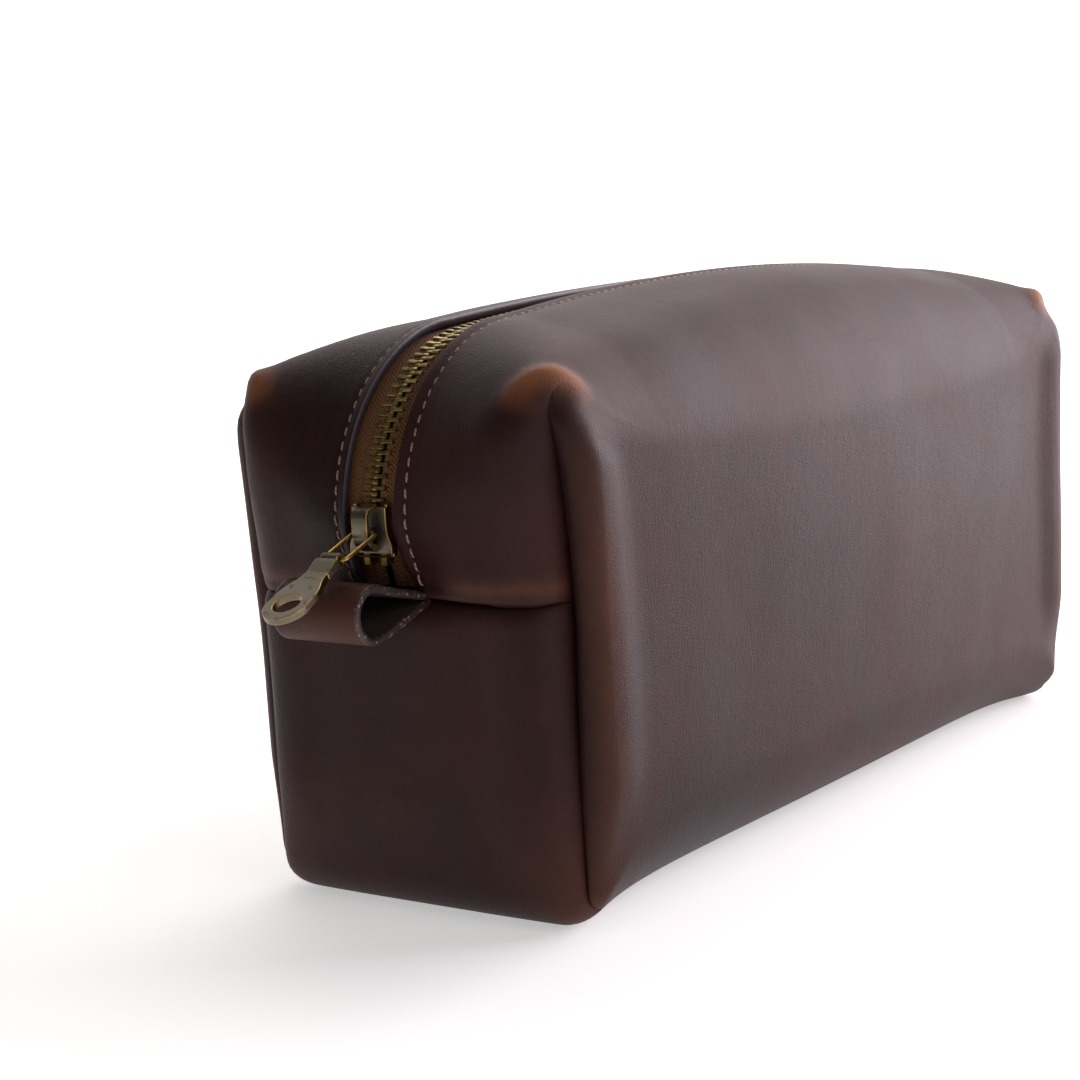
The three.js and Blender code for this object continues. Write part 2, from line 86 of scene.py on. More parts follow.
# ---- sizes of the looks, in millimetres -----------------------------------------------
BELOW = 3.2             # how far the tape and its stitches run on below the CAD tape's end
LEATHER = 2.0           # thickness
SLOT = 7.0              # half the width of the zip's slot
SEAM_Y = 42.5           # the corner creases, from the middle plane
SHOULDER_DROP = 9.5     # how much lower the top is at the corners than at the ridge
CORNER_TOP_RADIUS = 10
END_BOTTOM_RADIUS = 9
WALL_END_RADIUS = 10
WALL_TOP_EXTRA = 14     # added to the wall's edge radius along the top
WALL_BOTTOM_EXTRA = 15  # and along the bottom
CORE_X = 85.0           # the line that the rays start from, inside the bag
CORE_Z = (48.0, 84.0)
WALL_MIDDLE_Z = 64.0    # where each wall's fan of faces meets
CREASE_TOP_Z = 115.5
LOOP_LEATHER = 1.8
LOOP_SEWN_IN = 8.0      # how much of the loop's folded end lies flat in the seam

# ---- the camera ----------------------------------------------------------------------
CAMERA_PLACE = (-0.5097, -0.3121, 0.1549)
CAMERA_YAW = math.radians(35.62)
CAMERA_PITCH = math.radians(8.42)
CAMERA_ROLL = math.radians(-3.26)
FRAME_PIXELS = 1080
FOCAL_PIXELS = 2304.9
SENSOR_MM = 36.0


# ---- small tools ---------------------------------------------------------------------
def smooth(value, start, end):
    t = np.clip((value - start) / (end - start), 0, 1)
    return t * t * (3 - 2 * t)


def unit(v):
    return v / np.maximum(np.linalg.norm(v, axis=-1, keepdims=True), 1e-12)


def new_mesh(name, points_mm, faces, materials, face_materials=None, smooth_angle=None):
    """A mesh object from millimetre points. Faces are shaded smooth, up to smooth_angle."""
    mesh = bpy.data.meshes.new(name)
    mesh.from_pydata((np.asarray(points_mm, float) * MM).tolist(), [], [tuple(f) for f in faces])
    for material in materials:
        mesh.materials.append(material)
    if face_materials is not None:
        mesh.polygons.foreach_set("material_index", np.asarray(face_materials, np.int32))
    mesh.shade_smooth()
    if smooth_angle is not None:
        mesh.set_sharp_from_angle(angle=math.radians(smooth_angle))
    mesh.validate()
    mesh.update()
    obj = bpy.data.objects.new(name, mesh)
    bpy.context.scene.collection.objects.link(obj)
    return obj


def grid_faces(rows, columns, closed_columns=True, flip=False):
    """Quads of a grid whose points are stored row by row."""
    faces = []
    for r in range(rows - 1):
        for c in range(columns if closed_columns else columns - 1):
            a = r * columns + c
            b = r * columns + (c + 1) % columns
            quad = (a, b, b + columns, a + columns)
            faces.append(quad[::-1] if flip else quad)
    return faces


def float_attribute(obj, name, values):
    attribute = obj.data.attributes.new(name, "FLOAT", "POINT")
    attribute.data.foreach_set("value", np.asarray(values, np.float32))


def finish_piece(obj, body, slot, *replaced):
    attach(obj, body)
    if replaced:
        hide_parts(*replaced)
    return obj


# ---- shader helper -------------------------------------------------------------------
class Shader:
    """A node material. Inputs are given by name, as numbers, colours or other sockets."""

    def __init__(self, name, **principled):
        self.material = bpy.data.materials.new(name)
        self.material.use_nodes = True
        self.tree = self.material.node_tree
        self.tree.nodes.clear()
        self.bsdf = self.node("ShaderNodeBsdfPrincipled")
        out = self.node("ShaderNodeOutputMaterial")
        self.tree.links.new(self.bsdf.outputs[0], out.inputs["Surface"])
        for key, value in principled.items():
            self.plug(self.bsdf, key.replace("_", " "), value)

    def plug(self, node, key, value):
        socket = node.inputs[key]
        if isinstance(value, bpy.types.NodeSocket):
            self.tree.links.new(value, socket)
        else:
            socket.default_value = value

    def node(self, kind, inputs=None, **settings):
        node = self.tree.nodes.new(kind)
        for key, value in settings.items():
            setattr(node, key, value)
        for key, value in (inputs or {}).items():
            self.plug(node, key, value)
        return node

    def position(self):
        return self.node("ShaderNodeTexCoord").outputs["Object"]

    def stretched(self, vector, scale):
        return self.node("ShaderNodeMapping", {"Vector": vector, "Scale": scale}).outputs[0]

    def noise(self, vector, scale, detail=3.0, roughness=0.55, distortion=0.0):
        return self.node("ShaderNodeTexNoise", {"Vector": vector, "Scale": scale, "Detail": detail,
                                                "Roughness": roughness, "Distortion": distortion}).outputs["Fac"]

    def cells(self, vector, scale, feature="DISTANCE_TO_EDGE", randomness=1.0):
        return self.node("ShaderNodeTexVoronoi", {"Vector": vector, "Scale": scale, "Randomness": randomness},
                         feature=feature).outputs["Distance"]

    def remap(self, value, low, high, to_low=0.0, to_high=1.0):
        return self.node("ShaderNodeMapRange", {"Value": value, "From Min": low, "From Max": high,
                                                "To Min": to_low, "To Max": to_high}).outputs[0]

    def math(self, operation, a, b=0.0, c=0.0):
        node = self.node("ShaderNodeMath", operation=operation)
        for i, value in enumerate((a, b, c)):
            self.plug(node, i, value)
        return node.outputs[0]

    def mix(self, factor, a, b):
        node = self.node("ShaderNodeMix", data_type="RGBA")
        self.plug(node, 0, factor)
        self.plug(node, 6, a)
        self.plug(node, 7, b)
        return node.outputs[2]

    def attribute(self, name):
        return self.node("ShaderNodeAttribute", attribute_name=name).outputs["Fac"]

    def bump(self, height, distance, strength=1.0, normal=None):
        inputs = {"Height": height, "Distance": distance, "Strength": strength}
        if normal is not None:
            inputs["Normal"] = normal
        return self.node("ShaderNodeBump", inputs).outputs[0]


def rgb(r, g, b):
    """A linear colour from 0-255 screen values."""
    def linear(c):
        c /= 255
        return c / 12.92 if c <= 0.04045 else ((c + 0.055) / 1.055) ** 2.4
    return (linear(r), linear(g), linear(b), 1.0)


# ---- materials -----------------------------------------------------------------------
def leather_material(name, dark, mid, pulled_and_lit, roughness):
    """Oiled pull-up leather: dark ground, cloudy tone, pale orange where it is stretched, which on the rolls is
    painted highlight.
    """
    s = Shader(name)
    at = s.position()
    cloud = s.noise(at, 17, 4, 0.55, 0.5)
    mottle = s.noise(at, 120, 4, 0.6)
    tone = s.math("MULTIPLY_ADD", cloud, 0.8, s.math("MULTIPLY", mottle, 0.2))
    ground = s.mix(s.remap(tone, 0.38, 0.62), dark, mid)
    lift = s.attribute("stretch_and_highlight")
    broken = s.math("MULTIPLY", lift, s.remap(mottle, 0.3, 0.7, 0.8, 1.1))
    colour = s.mix(broken, ground, pulled_and_lit)
    wobble = s.node("ShaderNodeTexNoise", {"Vector": at, "Scale": 700.0, "Detail": 2.0})
    shift = s.node("ShaderNodeVectorMath", {0: wobble.outputs["Color"], 1: (0.0005, 0.0005, 0.0005)},
                   operation="MULTIPLY")
    grain_at = s.node("ShaderNodeVectorMath", {0: at, 1: shift.outputs[0]}, operation="ADD").outputs[0]
    pebbles = s.remap(s.cells(grain_at, 1500), 0.0, 0.25)
    wrinkles = s.noise(grain_at, 420, 3, 0.6)
    fine = s.noise(at, 3200, 2, 0.6)
    s.plug(s.bsdf, "Base Color", s.mix(s.remap(pebbles, 0, 1, 0.10, 0.0), colour, rgb(16, 8, 8)))
    scuffs = s.remap(s.noise(s.stretched(at, (30, 220, 600)), 1.0, 2, 0.5), 0.70, 0.8)
    rough = s.math("ADD", s.remap(cloud, 0.3, 0.7, roughness - 0.04, roughness + 0.06),
                   s.math("MULTIPLY", scuffs, 0.06))
    s.plug(s.bsdf, "Roughness", rough)
    s.plug(s.bsdf, "Specular IOR Level", 0.17)
    s.plug(s.bsdf, "Sheen Weight", 0.03)
    s.plug(s.bsdf, "Sheen Roughness", 0.4)
    s.plug(s.bsdf, "Sheen Tint", rgb(190, 180, 210))
    height = s.math("ADD", s.math("MULTIPLY", pebbles, 0.35),
                    s.math("ADD", s.math("MULTIPLY", fine, 0.2), s.math("MULTIPLY", wrinkles, 0.7)))
    grain = s.bump(height, 0.00012, 0.9)
    s.plug(s.bsdf, "Normal", s.bump(s.noise(at, 60, 2, 0.5), 0.0006, 0.3, grain))
    return s.material


def raw_leather_material():
    """The flesh side: dull, fibrous and a little lighter."""
    s = Shader("flesh_side", Roughness=0.9)
    at = s.position()
    fibres = s.noise(s.stretched(at, (1.0, 0.45, 1.0)), 1500, 5, 0.7, 1.2)
    s.plug(s.bsdf, "Base Color", s.mix(s.remap(fibres, 0.3, 0.7), rgb(30, 20, 16), rgb(62, 42, 32)))
    s.plug(s.bsdf, "Normal", s.bump(fibres, 0.0003, 0.8))
    return s.material


def cut_edge_material(name, base, worn_and_lit_fleck, amount):
    """A cut and painted leather edge, dark, with pale flecks that stand both for worn paint and for painted highlight
    on the edge.
    """
    s = Shader(name, Roughness=0.42)
    at = s.position()
    layers = s.noise(at, 700, 5, 0.7)
    worn_and_lit_flecks = s.remap(s.noise(at, 1300, 4, 0.75), 1 - amount, 1 - amount + 0.08)
    ground = s.mix(s.remap(layers, 0.35, 0.65), base, rgb(52, 40, 40))
    s.plug(s.bsdf, "Base Color", s.mix(worn_and_lit_flecks, ground, worn_and_lit_fleck))
    s.plug(s.bsdf, "Normal", s.bump(layers, 0.0002, 0.6))
    return s.material


def brass_material(name, face, dirt, roughness, patina):
    """Antique brass: patina in patches, fine brushing and small pits."""
    s = Shader(name, Metallic=1.0)
    at = s.position()
    patches = s.noise(at, 420, 5, 0.65, 0.3)
    grime = s.remap(patches, 0.62 - patina, 0.7)
    s.plug(s.bsdf, "Base Color", s.mix(grime, face, dirt))
    s.plug(s.bsdf, "Roughness", s.remap(patches, 0.3, 0.75, roughness - 0.06, roughness + 0.16))
    brushed = s.noise(s.stretched(at, (1.0, 0.12, 1.0)), 4200, 2, 0.5)
    hole_shade_disc = s.remap(s.cells(at, 900, "F1"), 0.0, 0.18)
    height = s.math("ADD", s.math("MULTIPLY", brushed, 0.4), s.math("MULTIPLY", hole_shade_disc, 0.6))
    s.plug(s.bsdf, "Normal", s.bump(height, 0.00004, 0.5))
    return s.material


def tape_material():
    """Herringbone tape: ribs that change slant every few millimetres across the tape."""
    s = Shader("zip_tape_weave", Roughness=0.88)
    along = s.attribute("along")
    across = s.attribute("across")
    lane = s.math("PINGPONG", across, 1.7)
    slant = s.math("ADD", along, s.math("MULTIPLY", lane, 1.0))
    rib = s.math("SINE", s.math("MULTIPLY", slant, 2 * math.pi / 0.95))
    yarn = s.math("SINE", s.math("MULTIPLY", across, 2 * math.pi / 0.5))
    weave = s.math("ADD", s.math("MULTIPLY", rib, 0.5), s.math("MULTIPLY", yarn, 0.2))
    fuzz = s.noise(s.position(), 3500, 3, 0.7)
    shade = s.math("ADD", s.remap(weave, -0.7, 0.7, 0.0, 0.8), s.math("MULTIPLY", fuzz, 0.25))
    s.plug(s.bsdf, "Base Color", s.mix(shade, rgb(26, 13, 6), rgb(150, 98, 48)))
    s.plug(s.bsdf, "Sheen Weight", 0.05)
    s.plug(s.bsdf, "Normal", s.bump(s.math("ADD", weave, s.math("MULTIPLY", fuzz, 0.4)), 0.00012, 0.9))
    return s.material


# Painted shade: these dark discs stand for the shadow in each stitch hole and under the thread beside it.
def hole_shade_material():
    s = Shader("stitch_hole_shade", Roughness=0.95)
    s.plug(s.bsdf, "Base Color", s.mix(s.noise(s.position(), 2500), rgb(14, 9, 9), rgb(30, 20, 18)))
    return s.material


def thread_material():
    """Waxed twisted thread: slanting plies, from the along and around attributes."""
    s = Shader("waxed_thread", Roughness=0.6)
    ply = s.math("SINE", s.math("ADD", s.math("MULTIPLY", s.attribute("along"), 2 * math.pi / 0.9),
                                s.math("MULTIPLY", s.attribute("around"), 2.0)))
    fuzz = s.noise(s.position(), 5000, 3, 0.7)
    # The plies' crowns are painted lighter and their grooves darker: painted highlight and painted shade along the
    # twist.
    shade = s.math("ADD", s.remap(ply, -1, 1, 0.15, 0.75), s.math("MULTIPLY", fuzz, 0.3))
    s.plug(s.bsdf, "Base Color", s.mix(shade, rgb(84, 56, 44), rgb(176, 142, 122)))
    s.plug(s.bsdf, "Normal", s.bump(s.math("ADD", ply, s.math("MULTIPLY", fuzz, 0.5)), 0.00006, 0.8))
    return s.material


LEATHER_SKIN = leather_material("oiled_leather", rgb(35, 16, 16), rgb(56, 29, 26), rgb(146, 90, 58), 0.50)
LOOP_SKIN = leather_material("loop_leather", rgb(50, 27, 22), rgb(70, 39, 32), rgb(120, 70, 46), 0.5)
FLESH = raw_leather_material()
# The slot edge's bluish tone and pale flecks are partly painted highlight along its lip, partly the edge paint and its
# wear.
SLOT_EDGE = cut_edge_material("slot_cut_edge", rgb(52, 46, 60), rgb(96, 90, 108), 0.36)
LOOP_EDGE = cut_edge_material("loop_cut_edge", rgb(58, 38, 34), rgb(190, 184, 200), 0.4)
TEETH_BRASS = brass_material("tooth_brass", rgb(140, 122, 72), rgb(46, 38, 20), 0.36, 0.12)
SLIDER_BRASS = brass_material("slider_brass", rgb(116, 108, 92), rgb(60, 54, 44), 0.32, 0.04)
# Lighter brass for the eased edges and the link: rubbed brass, and painted highlight along the edges.
RUBBED_AND_LIT_BRASS = brass_material("rubbed_and_lit_brass", rgb(176, 146, 86), rgb(110, 88, 50), 0.28, 0.02)
TAPE = tape_material()
THREAD = thread_material()
HOLE_SHADE = hole_shade_material()


# ---- the bag's outer form ------------------------------------------------------------
def round_edge(a, b, radius):
    corner = np.hypot(np.maximum(a + radius, 0), np.maximum(b + radius, 0))
    return np.minimum(-radius, np.maximum(a, b)) + corner


def across_share(y):
    return np.maximum(0, (np.abs(y) - 12) / 30)


def end_reach(y, z):
    centre = np.where(z > SEAM_Z, END_CENTRE, 131.5) - 3.5 * (1 - smooth(z, 0, 30))
    waist = (z - 60) / 55
    corner = 129 + np.where(waist > 0, 2.5, -1.5) * waist ** 2
    share = np.minimum(across_share(y), 1)
    return corner + (centre - corner) * (1 - share ** 2)


def top_reach(x, y):
    along = np.minimum(np.abs(x), -ARC_X)
    return RIDGE - along ** 2 / (2 * RIDGE_RADIUS) - SHOULDER_DROP * across_share(y) ** 1.5


def wall_reach(x, z):
    along = np.maximum(0, 1 - (x / 128) ** 2)
    return 46.5 + 3.5 * along * (1 - 0.6 * ((z - 60) / 75) ** 2)


def skin_distance(p):
    x, y, z = p[..., 0], p[..., 1], p[..., 2]
    share = np.minimum(across_share(y), 1)
    zip_radius = END_RADIUS + (CORNER_TOP_RADIUS - END_RADIUS) * share ** 1.3
    lengthwise = round_edge(np.abs(x) - end_reach(y, z), z - top_reach(x, y), zip_radius)
    lengthwise = round_edge(lengthwise, -z, END_BOTTOM_RADIUS)
    high = smooth(z, 50, 100)
    upper = WALL_TOP_EXTRA * np.maximum(0, 1 - (x / 126) ** 2)
    lower = WALL_BOTTOM_EXTRA * np.maximum(0, 1 - (x / 126) ** 6)
    edge_radius = WALL_END_RADIUS + upper * high + lower * (1 - high)
    return round_edge(lengthwise, np.abs(y) - wall_reach(x, z), edge_radius)


def cast(core, ray, reach):
    """Where each ray from core leaves the bag, searched for up to reach times its length."""
    near = np.zeros(core.shape[:-1])
    far = np.full(core.shape[:-1], reach)
    for _ in range(34):
        middle = (near + far) / 2
        inside = skin_distance(core + ray * middle[..., None]) < 0
        near = np.where(inside, middle, near)
        far = np.where(inside, far, middle)
    return core + ray * near[..., None]


def spread(values):
    """A list of distances with both signs, zero in the middle."""
    return [-v for v in reversed(values)] + [0.0] + list(values)


def half_loop():
    """Half of a lengthwise loop, [x, z], from under the middle up the far end to the top."""
    points = []

    def side(x0, z0, x1, z1, steps):
        for i in range(steps):
            points.append((x0 + (x1 - x0) * i / steps, z0 + (z1 - z0) * i / steps))

    side(0, 0, 121, 0, 32)
    side(121, 0, 127, 2.5, 4)
    side(127, 2.5, 129, 8, 4)
    side(129, 8, 131.5, 62, 26)
    for offset in spread([0.12, 0.45, 1.0, 1.8, 2.8, 4.0, 5.6, 7.4]):
        points.append((133, SEAM_Z + offset))
    side(135, 80.2, END_CENTRE, ARC_Z, 4)
    arc_steps = 40
    for i in range(arc_steps):
        turned = TURN * i / arc_steps
        points.append((END_RADIUS * math.cos(turned) - ARC_X, ARC_Z + END_RADIUS * math.sin(turned)))
    side(98.3, 129, 0, RIDGE, 40)
    points.append((0, RIDGE))
    return points


ROW_Y = [0, 3.5, SLOT, 7.3, 7.8, 8.4, 8.9, 9.3, 9.7, 10.2, 10.8, 11.8, 13.5, 16, 19, 22, 25, 28, 31, 33.5, 35.5, 37.2,
         38.7, 39.9, 40.8, 41.5, 42.0, 42.3, SEAM_Y]
ROLL_STEPS = 26
WALL_STEPS = 36


def base_grid():
    """Points of the unseamed skin for y >= 0: rows from the middle line to the wall's middle."""
    far_half = half_loop()
    loop = np.array(far_half + [(-x, z) for x, z in far_half[-2:0:-1]])
    x, z = loop[:, 0], loop[:, 1]
    rows = []
    core = np.stack([np.clip(x, -CORE_X, CORE_X), np.zeros_like(x), np.clip(z, *CORE_Z)], -1)
    ray = np.stack([x, np.zeros_like(x), z], -1) - core
    for y in ROW_Y:
        rows.append(cast(core + [0, y, 0], ray, 1.8))
    seam = rows[-1]
    centre = np.array([0, SEAM_Y - 10, WALL_MIDDLE_Z])
    flat = np.array([1, 0, 1.0])
    fan = centre + (seam - centre) * flat * np.array([0.93, 1, 0.86])
    gap = (seam - fan) * flat
    out = unit(gap)
    first = np.arctan2(10, np.linalg.norm(gap, axis=-1))
    for i in range(1, ROLL_STEPS + 1):
        share = (i / ROLL_STEPS) ** 1.5
        turn = first + (math.pi / 2 - first) * share
        rows.append(cast(fan, out * np.cos(turn)[:, None] + np.outer(np.sin(turn), [0, 1.0, 0]), 60.0))
    rim = rows[-1]
    centre = np.array([0, 0, WALL_MIDDLE_Z])
    for i in range(1, WALL_STEPS + 1):
        share = 1 - i / (WALL_STEPS + 0.5)
        from_point = centre + (rim - centre) * flat * share
        rows.append(cast(from_point, np.tile([0, 1.0, 0], (len(rim), 1)), 80.0))
    return loop, np.array(rows)


def grid_normals(grid):
    along = np.roll(grid, -1, 1) - np.roll(grid, 1, 1)
    across = np.gradient(grid, axis=0)
    return unit(np.cross(across, along))


def roll_dip(distance, width):
    """From 1 at a crease to 0 where the roll of leather beside it meets its tangent line."""
    t = np.clip(1 - np.abs(distance) / width, 0, 1)
    return 1 - np.sqrt(np.maximum(1 - t ** 2, 0))


def swell(distance, middle, half):
    return np.where(np.abs(distance - middle) < half, np.cos((distance - middle) / half * math.pi / 2) ** 2, 0)


def tail_tuck(z):
    """How far the lower ends of the zip and of the leather beside it are tucked into the end."""
    return 4.2 * (1 - smooth(z, 72.5, 90))


def back_sag(x, y, z):
    """The back edge of the mouth lies a little lower than the front edge along the top."""
    return 1.5 * np.clip(1 - (x / 92) ** 2, 0, 1) * smooth(y, -9, 6) * smooth(z, 100, 120)


def seamed_grid():
    """The skin for y >= 0 with its sewn creases, and how pale orange it is: pull-up where it is stretched, and painted
    highlight on the rolls.
    """
    loop, grid = base_grid()
    normals = grid_normals(grid)
    seam_row = len(ROW_Y) - 1
    steps = np.linalg.norm(np.diff(grid, axis=0), axis=-1)
    run = np.concatenate([np.zeros((1, grid.shape[1])), np.cumsum(steps, 0)])
    from_seam = run - run[seam_row]
    seam_x, seam_z = np.abs(grid[seam_row, :, 0]), grid[seam_row, :, 2]
    is_end = smooth(seam_x, 116, 122)
    heights = [0, 10, 40, 66, 83, 93, 101, 106, 110, 114, CREASE_TOP_Z + 3]
    depths = [2.2, 4.0, 6.4, 8.0, 8.0, 7.2, 5.8, 4.4, 2.8, 1.1, 0.0]
    depth = np.interp(seam_z, heights, depths) * is_end
    width = np.where(from_seam > 0, 11.0, 9.5)
    out = np.stack([np.sign(grid[..., 0]), np.zeros(grid.shape[:2]), np.zeros(grid.shape[:2])], -1)
    inward_y = np.array([0, 1.0, 0]) * 0.22
    result = grid - unit(out + inward_y) * (roll_dip(from_seam, width) * depth)[..., None]

    # the wall's roll and the flap's edge stand proud on each side of the crease
    beside = is_end * smooth(seam_z, 6, 30) * (1 - smooth(seam_z, 106, 120))
    plump = 2.3 * swell(from_seam, 12, 12) + 1.0 * swell(from_seam, -12, 10)
    result = result + normals * (plump * beside)[..., None]

    # the cross seam: the upper flap rolls under, and the lower panel starts behind it
    y = np.abs(grid[..., 1])
    height = grid[..., 2] - SEAM_Z
    on_end = smooth(np.abs(grid[..., 0]), 115, 122) * (1 - smooth(from_seam, -1.0, 0.6))
    share = np.minimum(across_share(y), 1)
    at_loop = 1 - smooth(y, 11, 22)
    floor = 2.2 + 1.4 * share ** 2 + 2.6 * at_loop
    step = (END_CENTRE - 131.5) * (1 - share ** 2)
    upper = (floor + step) * roll_dip(height, 5.5 + 4 * at_loop)
    lower = floor * roll_dip(height, 4.5 + 3.0 * at_loop)
    result = result - out * (np.where(height > 0, upper, lower) * on_end)[..., None]

    # above the cross seam the flap leans back towards the seam, away from the zip's stiff edge
    lean = 2.6 * smooth(y, 12, 22) * (1 - smooth(y, 36, 42)) * (1 - smooth(height, 3, 28)) * smooth(height, -0.5, 3)
    tuck = tail_tuck(grid[..., 2]) * smooth(height, 0, 4) * (1 - smooth(y, 11, 21))
    result = result - out * ((lean + tuck) * on_end)[..., None]
    wave = -0.3 * np.sin(np.clip((y - 12) / 30, 0, 1) * math.pi) * np.exp(-(height / 9) ** 2) * on_end
    result[..., 2] += wave

    # each top corner folds over the end of its crease in a soft arch
    end_of_crease = np.array([126.5, SEAM_Y, CREASE_TOP_Z - 2])
    apart = np.abs(grid) - end_of_crease
    away = np.linalg.norm(apart * np.array([0.8, 0.8, 1.0]), axis=-1)
    arch = np.exp(-((away - 6.2) / 2.4) ** 2) * smooth(apart[..., 2], -3, 5)
    dimple = np.exp(-(away / 3.6) ** 2)
    result = result + normals * (1.3 * arch - 1.1 * dimple)[..., None]

    # the leather is pulled down a little along each line of stitches
    near_zip = (smooth(grid[..., 2], SEAM_Z + 2, SEAM_Z + 6)) * np.exp(-((y - STITCH_Y) / 0.75) ** 2)
    edge_lift = smooth(grid[..., 2], SEAM_Z + 2, SEAM_Z + 6) * np.exp(-((y - SLOT) / 1.4) ** 2) * 0.5
    result = result + normals * (edge_lift - 0.32 * near_zip)[..., None]
    # Pale orange share: pull-up lightening where the leather is stretched over the arch and the bottom corners, with
    # painted highlight on the arch too; along the wall's roll beside each crease and the flap's rolled edge above the
    # cross seam it is painted highlight.
    pull_up_and_highlight = arch * 0.95 + 0.14 * swell(from_seam, 9, 8) * beside * (1 - smooth(seam_z, 60, 112) * 0.5)
    pull_up_and_highlight = pull_up_and_highlight + 0.16 * np.exp(-((height - 3.5) / 2.0) ** 2) * on_end * (1 - at_loop)
    off_corner = np.linalg.norm(apart * [1, 1, 0.0], axis=-1)
    pull_up_and_highlight = pull_up_and_highlight + 0.12 * is_end * np.exp(-(off_corner / 12) ** 2) * (1 - smooth(grid[..., 2], 4, 34))
    return loop, result, np.clip(pull_up_and_highlight, 0, 1)


def wander(points, scale, seed):
    """Smooth made-up unevenness, the same on each run: a few crossed waves."""
    rng = np.random.default_rng(seed)
    total = np.zeros(points.shape[:-1])
    for _ in range(7):
        direction = unit(rng.normal(size=3)) / scale
        total += np.sin(points @ direction * 2 * math.pi + rng.uniform(0, 2 * math.pi))
    return total / 7


def leather_body():
    loop, half, stretch_and_highlight = seamed_grid()
    count = len(loop)
    back = half
    front = half[1:] * np.array([1, -1, 1])
    grid = np.concatenate([front[::-1], back])
    stretch_and_highlight = np.concatenate([stretch_and_highlight[1:][::-1], stretch_and_highlight])
    normals = grid_normals(grid)
    lift = smooth(grid[..., 2], 3, 20) * smooth(np.abs(grid[..., 1]), 11, 24)
    uneven = 0.7 * wander(grid, 70, 3) + 0.22 * wander(grid, 26, 5)
    grid = grid + normals * (uneven * lift)[..., None]
    grid[..., 2] -= back_sag(grid[..., 0], grid[..., 1], grid[..., 2])
    grid[..., 2] = np.maximum(grid[..., 2], 0.02)
    normals = grid_normals(grid)
    rows = len(grid)

    middle_row = len(front)
    slot_rows = (middle_row - ROW_Y.index(SLOT), middle_row + ROW_Y.index(SLOT))
    in_slot = loop[:, 1] > SEAM_Z + 1.5
    quads = []
    for r in range(rows - 1):
        open_row = slot_rows[0] <= r < slot_rows[1]
        for c in range(count):
            n = (c + 1) % count
            if open_row and in_slot[c] and in_slot[n]:
                continue
            quads.append((r * count + c, (r + 1) * count + c, (r + 1) * count + n, r * count + n))
    outer = grid.reshape(-1, 3)
    reach = LEATHER * (1 - 0.75 * np.exp(-((np.abs(grid[..., 2]) - 112) / 9) ** 2) *
                       smooth(np.abs(grid[..., 0]), 104, 118) * smooth(np.abs(grid[..., 1]), 30, 38))
    inner = (grid - normals * reach[..., None]).reshape(-1, 3)
    total = len(outer)
    poles = np.array([grid[0].mean(0), grid[-1].mean(0)])
    pole_inner = poles - np.array([[0, -1, 0], [0, 1, 0]]) * LEATHER
    last = (rows - 1) * count
    caps = []
    for c in range(count):
        n = (c + 1) % count
        caps.append((2 * total, c, n))
        caps.append((2 * total + 1, last + n, last + c))
    outer_faces = quads + caps
    inner_of = {2 * total: 2 * total + 2, 2 * total + 1: 2 * total + 3}
    inner_faces = [tuple(inner_of.get(v, v + total) for v in reversed(face)) for face in outer_faces]

    # the cut edge round the zip's slot, a little rounded
    directed = {}
    for face in quads:
        for a, b in zip(face, face[1:] + face[:1]):
            directed[(a, b)] = True
    border = [(a, b) for a, b in directed if (b, a) not in directed and not
              (a < count and b < count) and not (a >= last and b >= last)]
    ring = sorted({v for edge in border for v in edge})
    outward = {v: np.zeros(3) for v in ring}
    flat_normals = normals.reshape(-1, 3)
    for a, b in border:
        side = np.cross(outer[b] - outer[a], flat_normals[a])
        outward[a] += side
        outward[b] += side
    shares = [(0.1, 0.22), (0.32, 0.42), (0.68, 0.42), (0.9, 0.22)]
    points = [outer, inner, poles, pole_inner]
    base = 2 * total + 4
    place = {}
    extra = []
    for v in ring:
        push = unit(outward[v])
        place[v] = [v] + [base + len(extra) + k for k in range(len(shares))] + [v + total]
        for share, bulge in shares:
            extra.append(outer[v] + (inner[v] - outer[v]) * share + push * bulge)
    points.append(np.array(extra))
    rim_faces = []
    for a, b in border:
        for k in range(len(shares) + 1):
            rim_faces.append((place[b][k], place[a][k], place[a][k + 1], place[b][k + 1]))
    faces = outer_faces + inner_faces + rim_faces
    kinds = [0] * len(outer_faces) + [1] * len(inner_faces) + [2] * len(rim_faces)
    points = np.concatenate(points)
    used = sorted({v for face in faces for v in face})
    renumber = {v: i for i, v in enumerate(used)}
    faces = [tuple(renumber[v] for v in face) for face in faces]
    obj = new_mesh("leather_bag", points[used], faces, [LEATHER_SKIN, FLESH, SLOT_EDGE], kinds, 70)
    values = np.zeros(len(points))
    values[:total] = stretch_and_highlight.ravel()
    float_attribute(obj, "stretch_and_highlight", values[used])
    return finish_piece(obj, "bag", "leather", "leather_body")


# ---- loops ---------------------------------------------------------------------------
def swept_strap(path, side_normal, half_width, half_thick, centre_y):
    """A strap along a path in the XZ plane, with rounded edges, as points and faces."""
    section = []
    bevel = half_thick * 0.8
    for corner_y, corner_t, start in ((1, 1, 0), (-1, 1, 90), (-1, -1, 180), (1, -1, 270)):
        for k in range(5):
            angle = math.radians(start + 90 * k / 4)
            section.append((corner_y * (half_width - bevel) + bevel * math.cos(angle),
                            corner_t * (half_thick - bevel) + bevel * math.sin(angle)))
    section = np.array(section)
    points = []
    for place, normal in zip(path, side_normal):
        for width, thick in section:
            point = place + normal * thick
            points.append((point[0], centre_y + width, point[1]))
    return np.array(points), len(section)


